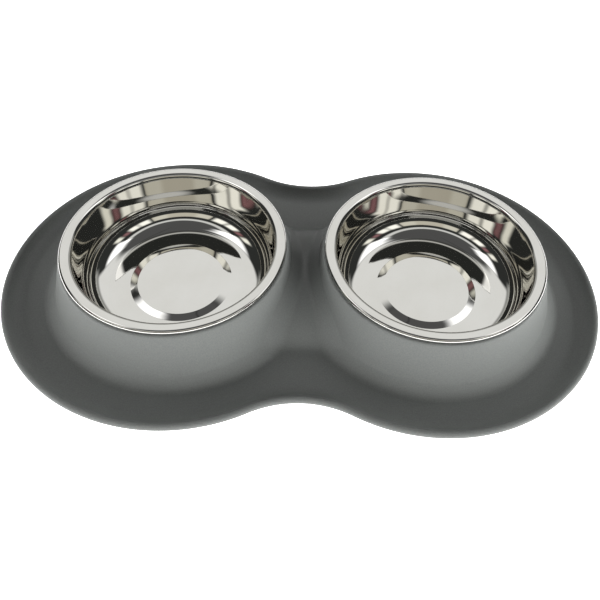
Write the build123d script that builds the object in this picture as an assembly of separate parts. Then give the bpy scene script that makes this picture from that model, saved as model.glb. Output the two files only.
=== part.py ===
from build123d import *
import math
import os

# Double pet bowl: a moulded silicone mat with two hollow pedestals, and a drawn steel bowl that
# drops into the seat of each pedestal. Millimetres, +Z up, X from bowl to bowl. The origin is on
# the table, midway between the bowls.

# The pair
bowl_gap = 24.0  # between the rims of the bowls
rim_height = 41.0  # top of the bowls above the table
overrun = 1.0  # how far a cut runs past the face that it opens

# Steel bowl
steel = 0.6
rim_radius = 70.0  # outside of the rolled bead
bead_radius = 1.6
bead_turn = 270.0  # degrees of roll
brim_width = 7.7  # from the bead's outside to where the inner wall would meet the brim, unrounded
brim_rounding = 3.0
wall_lean = 2.1  # how far the inner wall leans in from the brim to the floor, unrounded
floor_rounding = 17.5
floor_height = 3.0  # inner floor above the table
disc_inset = 31.8  # from the foot of the inner wall to the raised disc pressed into the floor
disc_rise = 0.5
disc_slope_width = 5.0
disc_rounding = 6.0

# Pedestal of the mat
mat_wall = 3.0
seat_gap = 0.3  # between the rolled bead and the seat ring
seat_clearance = 1.4  # between the bowl's wall and the seat's hole
pedestal_margin = 0.6  # the pedestal's top stands out past the bead
pedestal_flare = 8.5  # how far the wall leans out from its top to its foot
pedestal_edge_rounding = 1.2
skirt_height = 10.0  # crease where the skirt starts
skirt_width = 7.4
crease_rounding = 9.0

# Bridge between the pedestals
bridge_inset = 26.2  # its end on the tray, along Y, inside the line of the pedestals' creases
bridge_end_width = 18.3  # along Y, from its end on the tray to the shoulder above it
bridge_shoulder_height = 20.1
bridge_shoulder_rounding = 38.0
bridge_crown_rise = 2.4  # above the shoulders
bridge_crown_share = 0.42  # of each slope of its top, taken by the rounding of the crown

# Tray and spill lip of the mat
valley_rounding = 6.5  # where the tray, the skirts and the bridge run into each other
tray_width = 15.2  # flat floor from the skirt to the lip, before roundings
tray_rounding = 8.0
lip_height = 11.0
lip_thickness = 3.5
lip_slope = 45.0  # degrees from the table
lip_foot_rounding = 4.0
lip_land = 2.0  # flat floor that turns with the lip, inside its rounding
neck_radius = 68.0  # waist between the lobes, along the middle of the lip

# Worked out from the sizes above
half_spacing = rim_radius + bowl_gap / 2
mouth_radius = rim_radius - brim_width
foot_radius = mouth_radius - wall_lean
disc_radius = foot_radius - disc_inset
bead_middle = rim_radius - bead_radius
seat_height = rim_height - 2 * bead_radius - seat_gap
seat_hole_radius = mouth_radius + steel + seat_clearance
pedestal_top_radius = rim_radius + pedestal_margin
pedestal_lean = pedestal_flare / (seat_height - skirt_height)
crease_radius = pedestal_top_radius + pedestal_flare
skirt_radius = crease_radius + skirt_width
bridge_foot = crease_radius - bridge_inset
bridge_shoulder = bridge_foot - bridge_end_width
bridge_crown_height = bridge_shoulder_height + bridge_crown_rise
bridge_slope = math.hypot(bridge_shoulder, bridge_crown_rise)
bridge_crown_rounding = bridge_crown_share * bridge_slope * bridge_shoulder / bridge_crown_rise
bridge_reach = half_spacing - math.sqrt(crease_radius**2 - bridge_foot**2)
crown_gap = half_spacing - pedestal_top_radius - pedestal_lean * (seat_height - bridge_crown_height)
lip_rounding = lip_thickness / 2
lip_angle = math.radians(lip_slope)
lip_across = lip_rounding * math.sin(lip_angle)
lip_up = lip_rounding * math.cos(lip_angle)
lip_middle_height = lip_height - lip_rounding
lip_inner_run = lip_across + (lip_middle_height + lip_up - mat_wall) / math.tan(lip_angle)
lip_radius = skirt_radius + tray_width + lip_inner_run  # of a lobe, along the middle of the lip
lip_start = -lip_inner_run - tray_rounding * math.tan(lip_angle / 2) - lip_land
neck_centre = math.sqrt((lip_radius + neck_radius) ** 2 - half_spacing**2)
neck_angle = math.degrees(math.atan2(neck_centre, half_spacing))


def on_both_sides(shape):
    """A shape around the Z axis, placed at the right bowl and at the left one."""
    right = Pos(half_spacing, 0) * shape
    return [right, Rot(0, 0, 180) * right]


def bowl_solid():
    """A drawn bowl around the Z axis: floor with a raised disc, wall, brim and rolled bead."""
    disc_height = floor_height + disc_rise
    inside = FilletPolyline(
        (0, disc_height),
        (disc_radius, disc_height),
        (disc_radius + disc_slope_width, floor_height),
        (foot_radius, floor_height),
        (mouth_radius, rim_height),
        (bead_middle, rim_height),
        radius=[disc_rounding, disc_rounding, floor_rounding, brim_rounding],
    )
    bead = JernArc(start=inside @ 1, tangent=(1, 0), radius=bead_radius, arc_size=-bead_turn)
    sheet = Wire(inside.edges() + bead.edges())
    section = make_face(sheet.offset_2d(steel, side=Side.RIGHT, closed=True))
    return revolve(Plane.XZ * section, Axis.Z)


def inner_corner(before, corner, after):
    """The corner of a line of points, moved one mat wall to the right of the way it runs."""
    first = (Vector(*corner) - Vector(*before)).normalized()
    second = (Vector(*after) - Vector(*corner)).normalized()
    normals = Vector(first.Y + second.Y, -first.X - second.X)
    return Vector(*corner) + normals * (mat_wall / (1 + first.dot(second)))


def inner_base(corner, upper, lower):
    """Where a line from a moved corner, with the slope from upper to lower, leaves the underside."""
    lean = (lower[0] - upper[0]) / (upper[1] - lower[1])
    return (corner.X + (corner.Y + overrun) * lean, -overrun)


def pedestal_corners():
    """Outside corners of a pedestal, from the tray up to the middle of the seat."""
    foot = (skirt_radius, mat_wall)
    crease = (crease_radius, skirt_height)
    top = (pedestal_top_radius, seat_height)
    middle = (0, seat_height)
    return foot, crease, top, middle


def pedestal_solid():
    """Outside of one pedestal around the Z axis: seat, wall and skirt."""
    outline = FilletPolyline(
        (0, 0),
        (skirt_radius, 0),
        *pedestal_corners(),
        radius=[0, 0, 0, crease_rounding, pedestal_edge_rounding, 0],
        close=True,
    )
    return revolve(Plane.XZ * make_face(outline), Axis.Z)


def pedestal_hollow():
    """Space under one pedestal, one wall inside it, with the hole that the bowl drops into."""
    foot, crease, top, middle = pedestal_corners()
    under_crease = inner_corner(top, crease, foot)
    under_top = inner_corner(middle, top, crease)
    outline = FilletPolyline(
        (0, -overrun),
        inner_base(under_crease, crease, foot),
        under_crease,
        under_top,
        (0, under_top.Y),
        radius=[0, 0, crease_rounding + mat_wall, pedestal_edge_rounding, 0],
        close=True,
    )
    space = revolve(Plane.XZ * make_face(outline), Axis.Z)
    hole = extrude(Circle(seat_hole_radius), seat_height + overrun)
    return space + hole


def bridge_corners():
    """Outside corners of the bridge, from its rear foot over its crown to its front foot."""
    foot = (bridge_foot, mat_wall)
    shoulder = (bridge_shoulder, bridge_shoulder_height)
    crown = (0, bridge_crown_height)
    front_shoulder = (-bridge_shoulder, bridge_shoulder_height)
    front_foot = (-bridge_foot, mat_wall)
    return foot, shoulder, crown, front_shoulder, front_foot


def bridge_solid():
    """Outside of the raised bridge, which runs into both pedestals."""
    top_roundings = [bridge_shoulder_rounding, bridge_crown_rounding, bridge_shoulder_rounding]
    outline = FilletPolyline(
        (bridge_foot, 0),
        *bridge_corners(),
        (-bridge_foot, 0),
        radius=[0, 0, *top_roundings, 0, 0],
        close=True,
    )
    return extrude(Plane.YZ * make_face(outline), bridge_reach, both=True)


def bridge_hollow():
    """Space under the bridge, one wall inside it."""
    foot, shoulder, crown, front_shoulder = bridge_corners()[:4]
    under_shoulder = inner_corner(crown, shoulder, foot)
    under_crown = inner_corner(front_shoulder, crown, shoulder)
    base, low = inner_base(under_shoulder, shoulder, foot)
    outline = FilletPolyline(
        (base, low),
        under_shoulder,
        under_crown,
        (-under_shoulder.X, under_shoulder.Y),
        (-base, low),
        radius=[0, bridge_shoulder_rounding, bridge_crown_rounding, bridge_shoulder_rounding, 0],
        close=True,
    )
    return extrude(Plane.YZ * make_face(outline), bridge_reach, both=True)


def tray_solid():
    """Flat floor inside the lip: two lobes, and the neck between them cut in along both waists."""
    corners = [(half_spacing, 0), (0, neck_centre), (-half_spacing, 0), (0, -neck_centre)]
    neck = make_face(Polyline(*corners, close=True))
    waist = Circle(neck_radius - lip_start)
    neck = neck - Pos(0, neck_centre) * waist - Pos(0, -neck_centre) * waist
    return extrude(neck + on_both_sides(Circle(lip_radius + lip_start)), mat_wall)


def raised_tray():
    """Tray, pedestals and bridge in one, with one rounding in all the valleys between them."""
    pieces = [tray_solid(), bridge_solid(), *on_both_sides(pedestal_solid())]
    joined = pieces[0] + pieces[1:]
    floor = joined.faces().filter_by(Axis.Z).group_by(Axis.Z)[1].sort_by(SortBy.AREA)[-1]
    feet = floor.inner_wires()[0].edges()
    creases = new_edges(*pieces, combined=joined)
    creases = creases.filter_by_position(Axis.Z, mat_wall, seat_height, inclusive=(False, True))
    return fillet(feet + creases, min(valley_rounding, crown_gap, crease_rounding))


def lip_section(radius, outward):
    """Section of the spill lip, at a radius, that leans away from its axis (1) or towards it (-1)."""
    upper = (-lip_across, lip_middle_height + lip_up)
    lower = (lip_across, lip_middle_height - lip_up)
    tip = (lip_up, lip_middle_height + lip_across)
    corner = (-lip_inner_run, mat_wall)
    foot = (lower[0] - lower[1] / math.tan(lip_angle), 0)
    places = [lower, foot, (lip_start, 0), (lip_start, mat_wall), corner, upper, tip]
    lower, foot, start, start_top, corner, upper, tip = [(radius + outward * s, z) for s, z in places]
    sheet = FilletPolyline(
        lower, foot, start, start_top, corner, upper, radius=[lip_foot_rounding, 0, 0, tray_rounding]
    )
    edge = ThreePointArc(upper, tip, lower)
    return Plane.XZ * make_face(sheet.edges() + edge.edges())


def lip_solids():
    """The lip around both lobes and along both necks, in four turns that meet face to face."""
    lobe = revolve(Rot(0, 0, neck_angle) * lip_section(lip_radius, 1), Axis.Z, 2 * (180 - neck_angle))
    neck_start = 180 + neck_angle
    neck = revolve(Rot(0, 0, neck_start) * lip_section(neck_radius, -1), Axis.Z, 2 * (90 - neck_angle))
    left = Pos(-half_spacing, 0) * lobe
    rear = Pos(0, neck_centre) * neck
    return [left, Rot(0, 0, 180) * left, rear, Rot(0, 0, 180) * rear]


def mat_solid():
    """The whole moulding: tray, lip, pedestals and bridge, hollow from below."""
    return raised_tray() + lip_solids() - on_both_sides(pedestal_hollow()) - bridge_hollow()


os.makedirs("parts", exist_ok=True)
right_bowl, left_bowl = on_both_sides(bowl_solid())
export_step(mat_solid(), "parts/silicone_mat.step")
export_step(left_bowl, "parts/left_bowl.step")
export_step(right_bowl, "parts/right_bowl.step")
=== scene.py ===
import math

import bmesh
import bpy
import numpy as np
from mathutils import Matrix, Vector


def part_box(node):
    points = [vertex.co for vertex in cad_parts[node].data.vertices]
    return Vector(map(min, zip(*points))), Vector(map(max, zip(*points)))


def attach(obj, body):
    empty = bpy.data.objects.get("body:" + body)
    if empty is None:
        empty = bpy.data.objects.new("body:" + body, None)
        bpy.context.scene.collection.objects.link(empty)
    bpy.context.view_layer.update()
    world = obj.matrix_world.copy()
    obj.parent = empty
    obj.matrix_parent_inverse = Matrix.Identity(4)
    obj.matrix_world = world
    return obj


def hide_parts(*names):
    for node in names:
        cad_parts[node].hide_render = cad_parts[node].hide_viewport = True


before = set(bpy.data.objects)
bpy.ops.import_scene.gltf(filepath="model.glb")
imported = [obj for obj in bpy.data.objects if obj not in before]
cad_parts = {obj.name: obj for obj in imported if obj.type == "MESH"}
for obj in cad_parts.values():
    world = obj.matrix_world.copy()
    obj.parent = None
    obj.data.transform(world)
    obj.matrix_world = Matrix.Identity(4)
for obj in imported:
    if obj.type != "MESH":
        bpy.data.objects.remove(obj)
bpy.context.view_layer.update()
MM = 0.001

# Sizes are in millimetres and angles in degrees, unless a comment or docstring says otherwise.
# The frame gives the places of the bowls, their rims and the height of the seats.
right_low, right_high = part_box("right_bowl")
mat_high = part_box("silicone_mat")[1]
half_spacing = (right_low.x + right_high.x) / 2 / MM
rim_radius = (right_high.x - right_low.x) / 2 / MM
rim_height = right_high.z / MM
seat_height = mat_high.z / MM

# Steel bowl
steel = 0.6
bead_radius = 1.6
mouth_radius = 62.3
brim_rounding = 3.0
foot_radius = 60.2
floor_rounding = 17.5
floor_height = 3.0
disc_radius = 28.6
disc_rise = 1.05
disc_slope_width = 5.0
disc_rounding = 1.5

# Pedestals of the mat and the skirts at their feet. A point is a radius from the axis and a height.
mat_wall = 3.0
seat_hole_radius = 64.3
seat_hole_rounding = 0.6
pedestal_margin = 0.6
pedestal_flare = 8.5
pedestal_edge_rounding = 1.2
skirt_height = 10.0
skirt_rise = skirt_height - mat_wall
skirt_reach = 5.0
skirt_foot_rounding = 5.0
crease_rounding = 1.5
pedestal_top = (rim_radius + pedestal_margin, seat_height)
pedestal_crease = (rim_radius + pedestal_margin + pedestal_flare, skirt_height)

# Bridge between the pedestals: an arch that falls from its crown to ends at a distance and a height
bridge_crown_height = 22.0
bridge_end_distance = 47.0
bridge_end_height = 8.5
bridge_arch_power = 3.2
bridge_foot_rounding = 5.0
bridge_reach = 33.0

# Spill lip of the mat
lip_thickness = 4.6
lip_bulge = 0.6  # past the CAD box
lip_radius = mat_high.x / MM - half_spacing - lip_thickness / 2 + lip_bulge
lip_height = 9.5
lip_slope = 55.0
lip_foot_rounding = 4.0
tray_rounding = 12.0
neck_radius = 68.0

# Fineness of the meshes. A turn step is the angle between points along a rounding.
weld_distance = 0.001
sharp_angle = 50.0
bowl_segments = 192
bowl_turn_step = 3.0
bowl_step = 2.5
bead_points = 28
bridge_rays = 64
lip_rays = 224
lip_turn_step = 6.0
lip_step = 1.5
lip_edge_points = 19
seat_steps = (0.6, 1.5, 2.7, 4.2, 4.9, 5.3, 5.7, 6.1, 6.5, 7.0)
skin_steps = 60
height_halvings = 32

# Camera of the photograph, with its lens in pixels of the photograph
camera_yaw = -2.64
camera_pitch = 51.24
camera_roll = -3.90
camera_target = (11.3, -19.0, 11.0)
camera_distance = 423.0
image_side = 600
focal_pixels = 655.9
axis_column = 321.5

# Patches of the studio: azimuth, half width, elevation, half height, softness, colour. Azimuth is from
# the front, positive to the right.
studio_patches = (
    (0, 180, 90, 26, 4, (0.10, 0.10, 0.10)),
    (0, 180, 32, 33, 4, (0.035, 0.037, 0.035)),
    (180, 43, 45, 16, 4, (0.9, 0.9, 0.88)),
    (180, 50, 16, 11, 5, (0.40, 0.40, 0.38)),
    (0, 37, 37, 8.5, 1.5, (0.62, 0.58, 0.48)),
    (-27, 9, 37, 8.5, 4, (0.15, 0.16, 0.15)),
    (27, 9, 37, 8.5, 4, (0.15, 0.16, 0.15)),
    (-50, 8, 38, 8, 3.5, (1.4, 1.38, 1.27)),
    (48, 7, 38, 8, 3.5, (1.4, 1.38, 1.27)),
    (-68, 7, 38, 7, 3.5, (1.5, 1.48, 1.36)),
    (63, 6, 38, 7, 3.5, (1.4, 1.38, 1.27)),
    (-82, 4, 40, 5, 3.5, (0.30, 0.13, 0.14)),
    (76, 4, 40, 5, 3.5, (0.30, 0.13, 0.14)),
    (-95, 5, 38, 6, 3.5, (1.2, 1.18, 1.05)),
    (88, 5, 38, 6, 3.5, (1.2, 1.18, 1.05)),
    (0, 105, 59.5, 3.5, 2, (0.8, 0.8, 0.78)),
    (-115, 20, 59, 9, 4, (1.7, 1.7, 1.7)),
    (115, 20, 54, 9, 4, (1.7, 1.7, 1.7)),
)

# Soft boxes: name, azimuth, elevation, size in metres, power in watts. They stand at one distance.
box_distance = 1200.0
soft_boxes = (
    ("right", 96, 20, (1.0, 0.36), 10),
    ("front_right", 57, 8, (1.0, 0.32), 14),
    ("front", 0, 9, (0.8, 0.3), 6),
    ("front_left", -57, 8, (1.0, 0.32), 10),
    ("left", -96, 20, (1.0, 0.36), 6),
    ("rear", 180, 50, (1.4, 0.8), 6),
)


def unit(vector):
    """A vector with its length made 1."""
    return vector / np.linalg.norm(vector)


def rounded(points, radii, turn_step):
    """A line of profile points with its inner corners rounded, as dense points."""
    line = [np.array(points[0], float)]
    for before, corner, after, radius in zip(points, points[1:], points[2:], radii):
        before, corner, after = (np.array(p, float) for p in (before, corner, after))
        back, ahead = unit(before - corner), unit(after - corner)
        inward = unit(back + ahead)
        side = unit(ahead - (ahead @ inward) * inward)
        half = math.acos(np.clip(back @ ahead, -1, 1)) / 2
        centre = corner + inward * radius / math.sin(half)
        turn = math.pi - 2 * half
        count = max(2, math.ceil(math.degrees(turn) / turn_step) + 1)
        for angle in turn * np.linspace(-0.5, 0.5, count):
            line.append(centre + radius * (math.sin(angle) * side - math.cos(angle) * inward))
    line.append(np.array(points[-1], float))
    return np.array(line)


def arc(centre, radius, start, end, count):
    """Points along an arc."""
    angles = np.radians(np.linspace(start, end, count))
    return np.stack([centre[0] + radius * np.cos(angles), centre[1] + radius * np.sin(angles)], axis=1)


def spread(line, longest):
    """The line with points added, so that no step is longer than a length."""
    dense = [line[:1]]
    for a, b in zip(line, line[1:]):
        count = max(1, math.ceil(np.linalg.norm(b - a) / longest))
        dense.append(a + (b - a) * np.linspace(0, 1, count + 1)[1:, None])
    return np.concatenate(dense)


def offset_line(line, distance):
    """A dense line moved to the right of the way it runs."""
    along = np.gradient(line, axis=0)
    along = along / np.linalg.norm(along, axis=1)[:, None]
    return line + distance * np.stack([along[:, 1], -along[:, 0]], axis=1)


def new_piece(name, points, faces):
    """A mesh from points in millimetres, smooth apart from its sharp edges."""
    mesh = bpy.data.meshes.new(name)
    mesh.from_pydata((np.asarray(points) * MM).tolist(), [], faces)
    work = bmesh.new()
    work.from_mesh(mesh)
    bmesh.ops.remove_doubles(work, verts=work.verts, dist=weld_distance * MM)
    bmesh.ops.recalc_face_normals(work, faces=work.faces)
    for face in work.faces:
        face.smooth = True
    work.to_mesh(mesh)
    work.free()
    mesh.set_sharp_from_angle(angle=math.radians(sharp_angle))
    piece = bpy.data.objects.new(name, mesh)
    bpy.context.scene.collection.objects.link(piece)
    return piece


def bowl_section():
    """Closed section of the bowl: the inside from the middle of the floor to the roll, then back."""
    disc_height = floor_height + disc_rise
    bead_middle = (rim_radius - bead_radius, rim_height - bead_radius)
    corners = [
        (0, disc_height),
        (disc_radius, disc_height),
        (disc_radius + disc_slope_width, floor_height),
        (foot_radius, floor_height),
        (mouth_radius, rim_height),
        (bead_middle[0], rim_height),
    ]
    radii = [disc_rounding, disc_rounding, floor_rounding, brim_rounding]
    wall = rounded(corners, radii, bowl_turn_step)
    bead = arc(bead_middle, bead_radius, start=90, end=-180, count=bead_points)
    inside = spread(np.concatenate([wall[:-1], bead]), bowl_step)
    outside = offset_line(inside, steel)
    outside[0] = (0, disc_height - steel)
    return np.concatenate([inside, outside[::-1]])


def make_bowl(name, side):
    """A bowl turned from its section, around its own axis."""
    section = bowl_section()
    turns = np.linspace(0, 2 * math.pi, bowl_segments, endpoint=False)
    points = [(r * math.cos(t), r * math.sin(t), z) for t in turns for r, z in section]
    count = len(section)
    faces = []
    for i in range(bowl_segments):
        a, b = i * count, (i + 1) % bowl_segments * count
        faces += [(a + k, b + k, b + k + 1, a + k + 1) for k in range(1, count - 2)]
        faces += [(a, b + 1, a + 1), (a + count - 1, a + count - 2, b + count - 2)]
    bowl = new_piece(name, points, faces)
    bowl.location.x = side * half_spacing * MM
    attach(bowl, name.replace("steel_", ""))
    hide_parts(name.replace("steel_", ""))
    return bowl


def slope(across, up, top, foot):
    """Distance out from the line of a profile that falls from a top point to a foot point."""
    fall, run = top[1] - foot[1], foot[0] - top[0]
    return ((across - top[0]) * fall + (up - top[1]) * run) / math.hypot(fall, run)


def round_union(radius, *fields):
    """Distance field of solids joined together, with the inside corners between them rounded."""
    fields = np.stack(fields)
    near = np.maximum(radius - fields, 0)
    return np.maximum(radius, fields.min(axis=0)) - np.sqrt((near**2).sum(axis=0))


def round_overlap(radius, *fields):
    """Distance field of what solids share, with its outside corners rounded."""
    return -round_union(radius, *(-f for f in fields))


def eased(radius, cosine):
    """Radius at which round_union fills a corner as deep as a true rounding, from its normals' cosine."""
    return radius * (1 - np.sqrt((1 + cosine) / 2)) / (1 - math.sqrt(0.5))


def bridge_and_tray(x, y, z):
    """About the distance above the tray and the bridge."""
    fall = bridge_crown_height - bridge_end_height
    steepest = bridge_arch_power * fall / bridge_end_distance
    share = np.minimum(np.abs(y) / bridge_end_distance, 1)
    beyond = np.maximum(np.abs(y) - bridge_end_distance, 0)
    arch = bridge_crown_height - fall * share**bridge_arch_power - steepest * beyond
    bridge = (z - arch) / np.hypot(1, steepest * share ** (bridge_arch_power - 1))
    bridge = np.maximum(bridge, np.abs(x) - bridge_reach)
    return round_union(eased(bridge_foot_rounding, 1 / math.hypot(1, steepest)), bridge, z - mat_wall)


def mat_field(x, y, z):
    """About the distance from the outside of the pedestals, bridge and tray, negative under it."""
    ground = bridge_and_tray(x, y, z)
    fall, run = pedestal_top[1] - pedestal_crease[1], pedestal_crease[0] - pedestal_top[0]
    wall_up = run / math.hypot(fall, run)
    across, up = 1 / skirt_reach, 1 / skirt_rise
    skirt_scale = math.sqrt(across**2 + up**2 + 2 * wall_up * across * up)
    wall_cosine = (across + wall_up * up) / skirt_scale
    foot_cosine = (up + wall_up * across) / skirt_scale
    skirts = []
    walls = []
    for side in (-1, 1):
        radius = np.hypot(x - side * half_spacing, y)
        wall = slope(radius, z, pedestal_top, pedestal_crease)
        walls.append(round_overlap(pedestal_edge_rounding, wall, z - seat_height))
        skirts.append((wall * across + ground * up - 1) / skirt_scale)
    feet = round_union(eased(skirt_foot_rounding, foot_cosine), ground, *skirts)
    return round_union(eased(crease_rounding, wall_cosine), feet, *walls)


def skin_height(x, y, depth):
    """Height of the mat's skin over points, or of the surface at a depth under the skin."""
    margin = 1.0
    low = np.full(x.shape, -margin)
    high = np.full(x.shape, seat_height + margin)
    for _ in range(height_halvings):
        middle = (low + high) / 2
        under = mat_field(x, y, middle) < -depth
        low = np.where(under, middle, low)
        high = np.where(under, high, middle)
    return (low + high) / 2


def lip_run():
    """From the start of the tray's rounding to the middle of the lip's edge."""
    angle = math.radians(lip_slope)
    radius = lip_thickness / 2
    rise = lip_height - radius + radius * math.cos(angle) - mat_wall
    return tray_rounding * math.tan(angle / 2) + rise / math.tan(angle) + radius * math.sin(angle)


def lip_section():
    """Section of the lip from the tray's underside round its edge to the tray's top: run out, height."""
    angle = math.radians(lip_slope)
    radius = lip_thickness / 2
    middle = np.array([lip_run(), lip_height - radius])
    normal = np.array([-math.sin(angle), math.cos(angle)])
    upper, lower = middle + radius * normal, middle - radius * normal
    foot = (lower[0] - lower[1] / math.tan(angle), 0)
    corner = (upper[0] - (upper[1] - mat_wall) / math.tan(angle), mat_wall)
    under = rounded([(0, 0), foot, lower], [lip_foot_rounding], lip_turn_step)
    edge = arc(middle, radius, lip_slope - 90, lip_slope + 90, lip_edge_points)
    over = rounded([upper, corner, (0, mat_wall)], [tray_rounding], lip_turn_step)
    return spread(np.concatenate([under[:-1], edge, over[1:]])[1:-1], lip_step)


def neck_centre():
    """Centre of the neck's arc, along Y."""
    return math.sqrt((lip_radius + neck_radius) ** 2 - half_spacing**2)


def middle_angle():
    """Direction, in radians, from a pedestal's axis to the middle of the neck's tray edge."""
    return math.atan2(neck_centre() - neck_radius - lip_run(), half_spacing)


def tray_edge(angle):
    """Where a ray from a pedestal's axis leaves the tray, and the way out there (None at the middle).

    The angle is in radians.
    """
    tolerance = 1e-9
    neck = np.array([half_spacing, math.copysign(neck_centre(), angle)])
    way = np.array([math.cos(angle), math.sin(angle)])
    if abs(angle) < middle_angle() - tolerance:
        return way * half_spacing / way[0], None
    if abs(angle) > math.atan2(neck_centre(), half_spacing):
        return way * (lip_radius - lip_run()), way
    waist = neck_radius + lip_run()
    across = way @ neck
    reach = across - math.sqrt(max(across**2 - neck @ neck + waist**2, 0))
    point = way * reach
    return point, unit(neck - point)


def mat_rays(angles):
    """Radial cuts of the left half of the mat: the skin inwards, the hole's edge, the inside, the lip."""
    edges = [tray_edge(angle) for angle in angles]
    ends = np.array([point for point, _ in edges])
    reach = np.linalg.norm(ends, axis=1)[:, None]
    ways = ends / reach
    inner = seat_hole_radius + np.array(seat_steps)
    outer = inner[-1] + (reach - inner[-1]) * np.linspace(0, 1, skin_steps)[1:]
    stations = np.concatenate([np.tile(inner, (len(ends), 1)), outer], axis=1)
    x = stations * ways[:, :1] - half_spacing
    y = stations * ways[:, 1:]
    top = np.stack([x, y, skin_height(x, y, 0)], axis=2)
    under = np.stack([x, y, skin_height(x, y, mat_wall)], axis=2)
    levels = [seat_height - seat_hole_rounding, seat_height - mat_wall + seat_hole_rounding]
    section = lip_section()
    rays = []
    for i, (_, outward) in enumerate(edges):
        rim = seat_hole_radius * ways[i] - (half_spacing, 0)
        chain = [top[i, ::-1], [(*rim, level) for level in levels], under[i]]
        if outward is not None:
            across = top[i, -1, :2] + section[:, :1] * outward
            chain.append(np.column_stack([across, section[:, 1]]))
        rays.append(np.concatenate(chain))
    return rays


def make_mat():
    """The mat as two mirrored halves, each a fan of radial cuts round its pedestal."""
    split = middle_angle()
    angles = np.linspace(-split, split, bridge_rays)
    angles = np.concatenate([angles, np.linspace(split, 2 * math.pi - split, lip_rays)[1:-1]])
    rays = mat_rays((angles + math.pi) % (2 * math.pi) - math.pi)
    starts = np.cumsum([0] + [len(r) for r in rays]).tolist()
    shortest = min(len(r) for r in rays)
    faces = []
    for i, ray in enumerate(rays):
        j = (i + 1) % len(rays)
        a, b = starts[i], starts[j]
        shared = min(len(ray), len(rays[j]))
        faces += [(a + k, a + k + 1, b + k + 1, b + k) for k in range(shared - 1)]
        if shared > shortest:
            faces.append((a + shared - 1, a, b, b + shared - 1))
    half = np.concatenate(rays)
    other = half * np.array([-1, 1, 1])
    mirrored = [tuple(v + len(half) for v in reversed(f)) for f in faces]
    mat = new_piece("silicone_feeding_mat", np.concatenate([half, other]), faces + mirrored)
    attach(mat, "mat")
    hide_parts("silicone_mat")
    return mat


def new_material(name):
    """A material with nodes, its node tree and its shader."""
    material = bpy.data.materials.new(name)
    material.use_nodes = True
    tree = material.node_tree
    return material, tree, tree.nodes["Principled BSDF"]


def math_node(tree, operation, *inputs):
    """Output of a math node whose inputs are numbers or other nodes' outputs."""
    made = tree.nodes.new("ShaderNodeMath")
    made.operation = operation
    for socket, value in zip(made.inputs, inputs):
        if isinstance(value, (int, float)):
            socket.default_value = value
        else:
            tree.links.new(value, socket)
    return made.outputs[0]


def add_noise(tree, place, scale, detail):
    """Output of a noise texture laid out by a place, with its scale in marks per metre."""
    noise = tree.nodes.new("ShaderNodeTexNoise")
    noise.inputs["Scale"].default_value = scale
    noise.inputs["Detail"].default_value = detail
    tree.links.new(place, noise.inputs["Vector"])
    return noise.outputs["Fac"]


def marked(tree, marks, low, high):
    """Colour between two colours, by marks. Sockets 6 and 7 and output 2 are the node's colour ones."""
    mix = tree.nodes.new("ShaderNodeMix")
    mix.data_type = "RGBA"
    mix.inputs[6].default_value = (*low, 1)
    mix.inputs[7].default_value = (*high, 1)
    tree.links.new(marks, mix.inputs["Factor"])
    return mix.outputs[2]


def add_finish(tree, shader, colour_marks, colours, roughness_marks, roughness):
    """Lets marks choose a shader's colour between two colours, and its roughness between two values."""
    greys = [(r, r, r) for r in roughness]
    tree.links.new(marked(tree, colour_marks, *colours), shader.inputs["Base Color"])
    tree.links.new(marked(tree, roughness_marks, *greys), shader.inputs["Roughness"])


def add_bump(tree, shader, height, strength, depth):
    """Fine relief of a material."""
    bump = tree.nodes.new("ShaderNodeBump")
    bump.inputs["Strength"].default_value = strength
    bump.inputs["Distance"].default_value = depth * MM
    tree.links.new(height, bump.inputs["Height"])
    tree.links.new(bump.outputs["Normal"], shader.inputs["Normal"])


def silicone():
    """Matte dark grey silicone with a fine moulded grain and faint clouds of wear."""
    material, tree, shader = new_material("matte_silicone")
    place = tree.nodes.new("ShaderNodeTexCoord").outputs["Object"]
    grain = add_noise(tree, place, scale=1400, detail=3)
    clouds = add_noise(tree, place, scale=30, detail=2)
    colours = ((0.094, 0.099, 0.095), (0.162, 0.170, 0.163))
    add_finish(tree, shader, grain, colours, clouds, roughness=(0.42, 0.58))
    add_bump(tree, shader, grain, strength=0.1, depth=0.2)
    shader.inputs["Specular IOR Level"].default_value = 0.3
    return material


def steel_finish(name, colours, roughness, relief):
    """Stainless steel with faint rings round the bowl and cloudy patches."""
    material, tree, shader = new_material(name)
    place = tree.nodes.new("ShaderNodeTexCoord").outputs["Object"]
    split = tree.nodes.new("ShaderNodeSeparateXYZ")
    tree.links.new(place, split.inputs[0])
    x, y, z = split.outputs
    squares = math_node(tree, "ADD", math_node(tree, "MULTIPLY", x, x), math_node(tree, "MULTIPLY", y, y))
    rings = tree.nodes.new("ShaderNodeCombineXYZ")
    tree.links.new(math_node(tree, "SQRT", squares), rings.inputs["X"])
    tree.links.new(z, rings.inputs["Z"])
    marks = add_noise(tree, rings.outputs[0], scale=2500, detail=2)
    clouds = add_noise(tree, place, scale=45, detail=3)
    add_finish(tree, shader, clouds, colours, marks, roughness)
    add_bump(tree, shader, marks, strength=relief, depth=0.01)
    shader.inputs["Metallic"].default_value = 1
    return material


def polished_steel():
    """The mirror finish of a bowl's inside and rim."""
    colours = ((0.66, 0.65, 0.62), (0.74, 0.735, 0.72))
    return steel_finish("polished_steel", colours, roughness=(0.02, 0.05), relief=0.004)


def satin_steel():
    """The satin finish of a bowl's outside."""
    colours = ((0.46, 0.455, 0.44), (0.54, 0.535, 0.52))
    return steel_finish("satin_steel", colours, roughness=(0.28, 0.40), relief=0.05)


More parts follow.
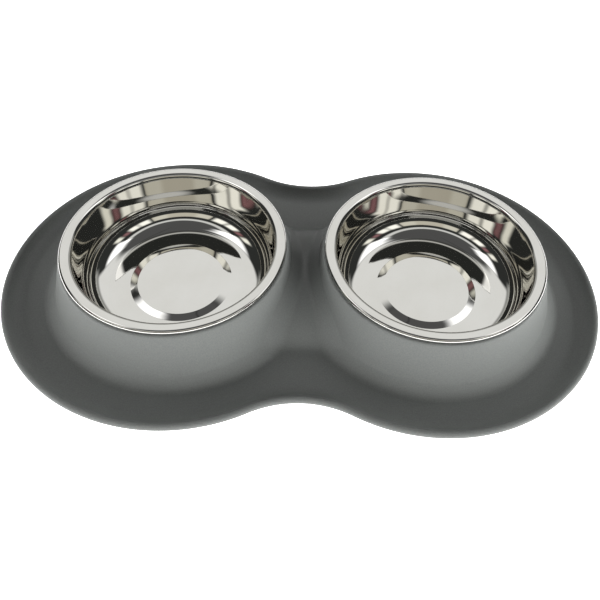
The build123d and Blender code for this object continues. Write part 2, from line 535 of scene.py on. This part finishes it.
def finish_bowl(bowl, inside, outside):
    """Gives a bowl its two finishes: the second one on faces under the roll that look out or down."""
    bowl.data.materials.append(inside)
    bowl.data.materials.append(outside)
    roll_underside = (rim_height - 2 * bead_radius) * MM
    upright = 0.5  # a normal whose Z is less than this, up or down, looks sideways
    for face in bowl.data.polygons:
        outward = face.center.x * face.normal.x + face.center.y * face.normal.y
        looks_down = face.normal.z < -upright
        looks_out = outward > 0 and face.normal.z < upright
        face.material_index = int((looks_down or looks_out) and face.center.z < roll_underside)


def pale_material(name, tone, roughness, glow):
    """Plain pale surface that glows."""
    material, _, shader = new_material(name)
    shader.inputs["Base Color"].default_value = (tone, tone, tone, 1)
    shader.inputs["Roughness"].default_value = roughness
    shader.inputs["Emission Color"].default_value = (1, 1, 1, 1)
    shader.inputs["Emission Strength"].default_value = glow
    return material


def make_floor():
    """A large pale table top, just under the mat."""
    reach = 3000
    gap = 0.2
    corners = [(-reach, -reach, 0), (reach, -reach, 0), (reach, reach, 0), (-reach, reach, 0)]
    floor = new_piece("table_top", corners, [(0, 1, 2, 3)])
    floor.location.z = -gap * MM
    floor.data.materials.append(pale_material("pale_table", tone=0.85, roughness=0.7, glow=1.5))


def make_backdrop():
    """A plain pale wall round the table, which only the camera sees."""
    radius, height, count = 2800, 3000, 96
    turns = np.linspace(0, 2 * math.pi, count, endpoint=False)
    points = [(radius * math.cos(t), radius * math.sin(t), z) for z in (0, height) for t in turns]
    sides = [(i, (i + 1) % count) for i in range(count)]
    wall = new_piece("backdrop", points, [(a, b, count + b, count + a) for a, b in sides])
    wall.data.materials.append(pale_material("pale_backdrop", tone=0.8, roughness=0.5, glow=1.0))
    wall.visible_diffuse = False
    wall.visible_glossy = False
    wall.visible_shadow = False


def add_camera():
    """The photograph's camera: a lens with a small sideways shift, over the front of the mat."""
    yaw, pitch, roll = (math.radians(a) for a in (camera_yaw, camera_pitch, camera_roll))
    back = Vector((math.sin(yaw) * math.cos(pitch), -math.cos(yaw) * math.cos(pitch), math.sin(pitch)))
    place = Vector(camera_target) * MM + camera_distance * MM * back
    camera = bpy.data.cameras.new("camera")
    camera.sensor_width = 36.0
    camera.lens = camera.sensor_width * focal_pixels / image_side
    camera.shift_x = (image_side / 2 - axis_column) / image_side
    camera.clip_start = 10 * MM
    holder = bpy.data.objects.new("camera", camera)
    turn = back.to_track_quat("Z", "Y").to_matrix() @ Matrix.Rotation(-roll, 3, "Z")
    holder.matrix_world = Matrix.Translation(place) @ turn.to_4x4()
    bpy.context.scene.collection.objects.link(holder)
    bpy.context.scene.camera = holder


def soft_window(tree, distance, half, softness):
    """1 where a distance is under a half width, falling softly to 0 around it, all in radians."""
    made = tree.nodes.new("ShaderNodeMapRange")
    made.interpolation_type = "SMOOTHSTEP"
    tree.links.new(distance, made.inputs["Value"])
    made.inputs["From Min"].default_value = half - softness
    made.inputs["From Max"].default_value = half + softness
    made.inputs["To Min"].default_value = 1
    made.inputs["To Max"].default_value = 0
    return made.outputs["Result"]


def patch_mask(tree, azimuth, elevation, patch):
    """Mask of a soft patch of the studio's walls."""
    turn, half_turn, height, half_height, softness = (math.radians(v) for v in patch)
    across = math_node(tree, "COSINE", math_node(tree, "SUBTRACT", azimuth, turn))
    across = math_node(tree, "ARCCOSINE", across)
    above = math_node(tree, "ABSOLUTE", math_node(tree, "SUBTRACT", elevation, height))
    wide = soft_window(tree, across, half_turn, softness)
    return math_node(tree, "MULTIPLY", wide, soft_window(tree, above, half_height, softness))


def lit_patch(tree, colour, mask):
    """Light of a patch, from its colour and its mask."""
    lit = tree.nodes.new("ShaderNodeVectorMath")
    lit.operation = "SCALE"
    lit.inputs[0].default_value = colour
    tree.links.new(mask, lit.inputs["Scale"])
    return lit.outputs[0]


def light_sum(tree, lights):
    """Sum of the lights of all patches."""
    total = lights[0]
    for light in lights[1:]:
        both = tree.nodes.new("ShaderNodeVectorMath")
        both.operation = "ADD"
        tree.links.new(total, both.inputs[0])
        tree.links.new(light, both.inputs[1])
        total = both.outputs[0]
    return total


def studio_world():
    """A dark studio with softly lit patches, which show in reflections and don't light matte surfaces."""
    world = bpy.data.worlds.new("studio")
    world.use_nodes = True
    tree = world.node_tree
    split = tree.nodes.new("ShaderNodeSeparateXYZ")
    tree.links.new(tree.nodes.new("ShaderNodeTexCoord").outputs["Generated"], split.inputs[0])
    x, y, z = split.outputs
    azimuth = math_node(tree, "ARCTAN2", x, math_node(tree, "MULTIPLY", y, -1.0))
    elevation = math_node(tree, "ARCSINE", z)
    lights = []
    for *patch, colour in studio_patches:
        lights.append(lit_patch(tree, colour, patch_mask(tree, azimuth, elevation, patch)))
    tree.links.new(light_sum(tree, lights), tree.nodes["Background"].inputs["Color"])
    world.cycles_visibility.diffuse = False
    bpy.context.scene.world = world


def add_light(name, place, size, power):
    """A soft rectangular light that points at the middle of the mat and doesn't show in the steel."""
    light = bpy.data.lights.new(name, "AREA")
    light.shape = "RECTANGLE"
    light.size, light.size_y = size
    light.energy = power
    holder = bpy.data.objects.new(name, light)
    holder.location = place
    holder.rotation_euler = (-place).to_track_quat("-Z", "Y").to_euler()
    holder.visible_glossy = False
    bpy.context.scene.collection.objects.link(holder)


def add_soft_boxes():
    """Soft boxes all round the mat, most of them low."""
    for name, azimuth, elevation, size, power in soft_boxes:
        turn, rise = math.radians(azimuth), math.radians(elevation)
        level = math.cos(rise)
        way = Vector((level * math.sin(turn), -level * math.cos(turn), math.sin(rise)))
        add_light(name, box_distance * MM * way, size, power)


mat = make_mat()
mat.data.materials.append(silicone())
mirror, satin = polished_steel(), satin_steel()
for name, side in (("steel_left_bowl", -1), ("steel_right_bowl", 1)):
    finish_bowl(make_bowl(name, side), mirror, satin)
make_floor()
make_backdrop()
add_camera()
studio_world()
add_soft_boxes()
bpy.context.scene.view_settings.view_transform = "Standard"
